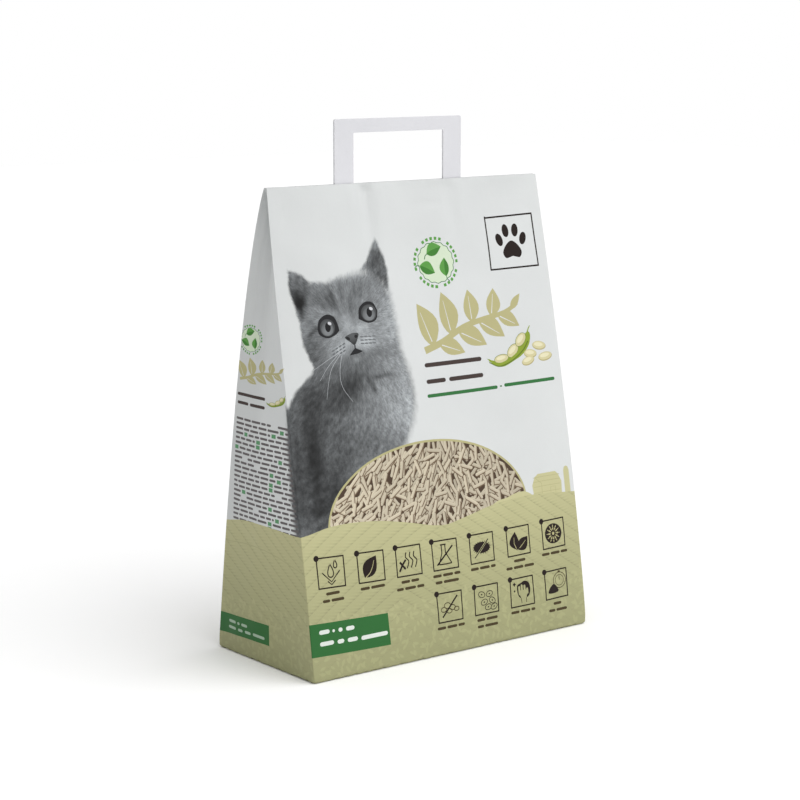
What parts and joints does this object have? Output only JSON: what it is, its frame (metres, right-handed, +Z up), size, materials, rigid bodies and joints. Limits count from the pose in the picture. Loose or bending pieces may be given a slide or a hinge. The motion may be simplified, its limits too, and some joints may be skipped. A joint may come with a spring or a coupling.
{
  "type": "cat litter bag",
  "caption": "Filled block-bottom paper sack with side gussets, a pinched flat top and a flat paper carry loop; stands upright on its base.",
  "frame": {"origin": "centre of the base, on the surface the sack stands on", "axes": "+Z up, the main printed panel faces -Y, the sack's width runs along X"},
  "size_m": [0.3536, 0.164, 0.524],
  "materials": {
    "printed_paper": "satin",
    "handle_paper": "matte"
  },
  "bodies": {
    "root": {"sack": "printed_paper", "handle": "handle_paper"}
  },
  "joints": []
}
